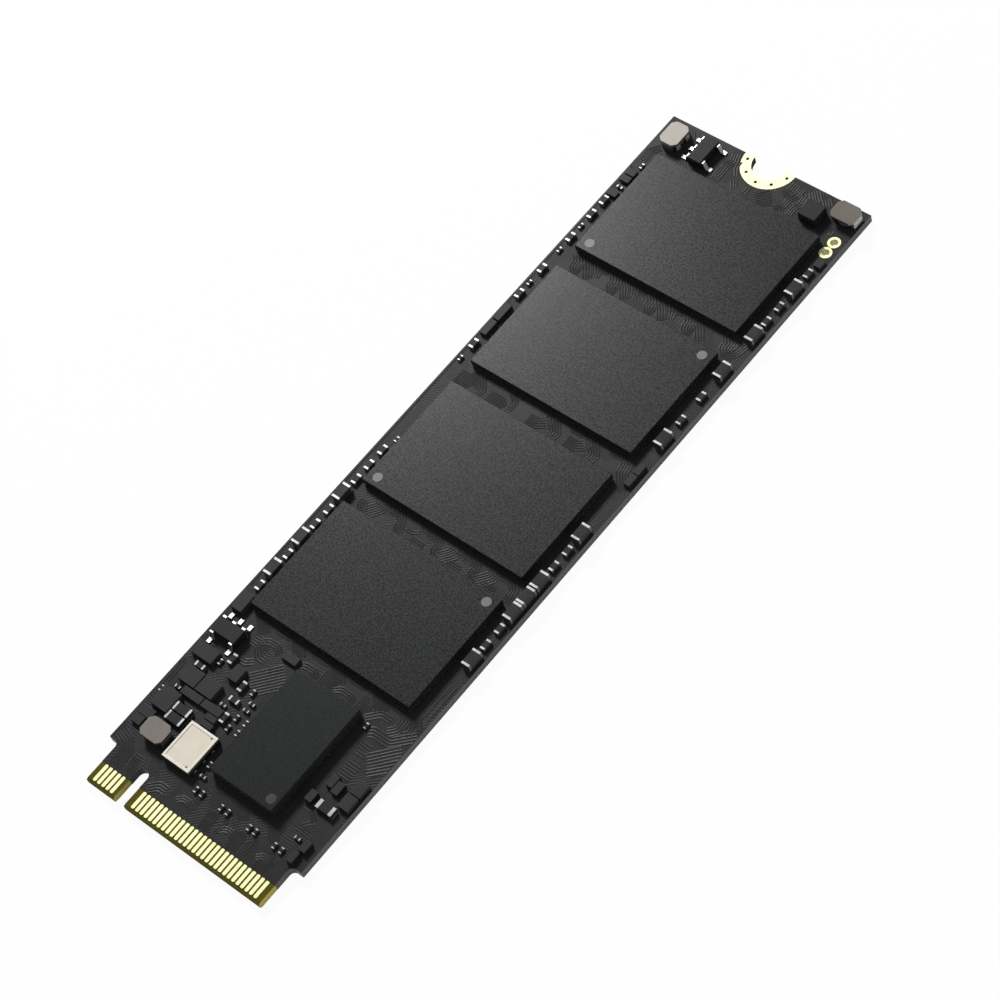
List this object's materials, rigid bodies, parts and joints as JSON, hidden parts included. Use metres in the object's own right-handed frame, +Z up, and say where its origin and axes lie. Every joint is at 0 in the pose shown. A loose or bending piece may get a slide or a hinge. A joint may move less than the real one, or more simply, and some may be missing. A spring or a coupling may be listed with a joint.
{
  "type": "m2 nvme ssd",
  "caption": "Solid state drive card: black circuit board with gold edge contacts, memory packages, a controller, small power parts and a half-round mounting hole.",
  "frame": {"origin": "centre of the card's underside", "axes": "+X to the right seen from the contact end, +Y along the card from the contacts to the mounting hole, +Z up out of the face that carries the packages"},
  "size_m": [0.022, 0.08, 0.0019],
  "materials": {
    "laminate": "bare woven glass laminate, olive",
    "mask": "satin black solder mask",
    "gold": "pale gold plating over copper",
    "mould": "matt moulding compound",
    "mould_small": "matt moulding compound",
    "substrate": "dark package substrate",
    "attach": "dark underfill over solder",
    "mark": "light grey round mark",
    "ceramic_base": "unglazed ceramic",
    "plated_rim": "bright seam-welded rim",
    "lid": "matt nickel lid",
    "ferrite_dark": "matt ferrite, grey-brown",
    "ferrite_pale": "matt ferrite, pale",
    "winding": "dark varnished winding",
    "tinned": "matt tin plating",
    "chip_body": "sintered ceramic with a dark coat"
  },
  "bodies": {
    "root": {"board_laminate": "laminate", "solder_mask_top": "mask", "solder_mask_bottom": "mask", "solder_mask_edge": "mask", "contacts_top": "gold", "contacts_bottom": "gold", "mounting_land": "gold", "plated_holes": "gold", "controller_body": "mould", "controller_substrate": "substrate", "controller_attach": "attach", "controller_mark": "mark", "memory_1_body": "mould", "memory_2_body": "mould", "memory_3_body": "mould", "memory_4_body": "mould", "memory_substrates": "substrate", "memory_attach": "attach", "memory_marks": "mark", "oscillator_base": "ceramic_base", "oscillator_rim": "plated_rim", "oscillator_lid": "lid", "coil_power_cap": "ferrite_dark", "coil_far_left_cap": "ferrite_pale", "coil_far_right_cap": "ferrite_dark", "coil_cores": "winding", "coil_ends": "tinned", "regulator_bodies": "mould_small", "regulator_leads": "tinned", "power_blocks": "mould_small", "corner_blocks": "mould_small", "left_blocks": "mould_small", "right_blocks": "mould_small", "far_block": "mould_small", "large_left_chips": "chip_body", "large_left_ends": "tinned", "large_right_chips": "chip_body", "large_right_ends": "tinned", "low_cross_chips": "chip_body", "low_cross_ends": "tinned", "medium_left_chips": "chip_body", "medium_left_ends": "tinned", "medium_right_chips": "chip_body", "medium_right_ends": "tinned", "medium_power_chips": "chip_body", "medium_power_ends": "tinned", "small_edge_chips": "chip_body", "small_edge_ends": "tinned", "small_power_chips": "chip_body", "small_power_ends": "tinned"}
  },
  "joints": []
}
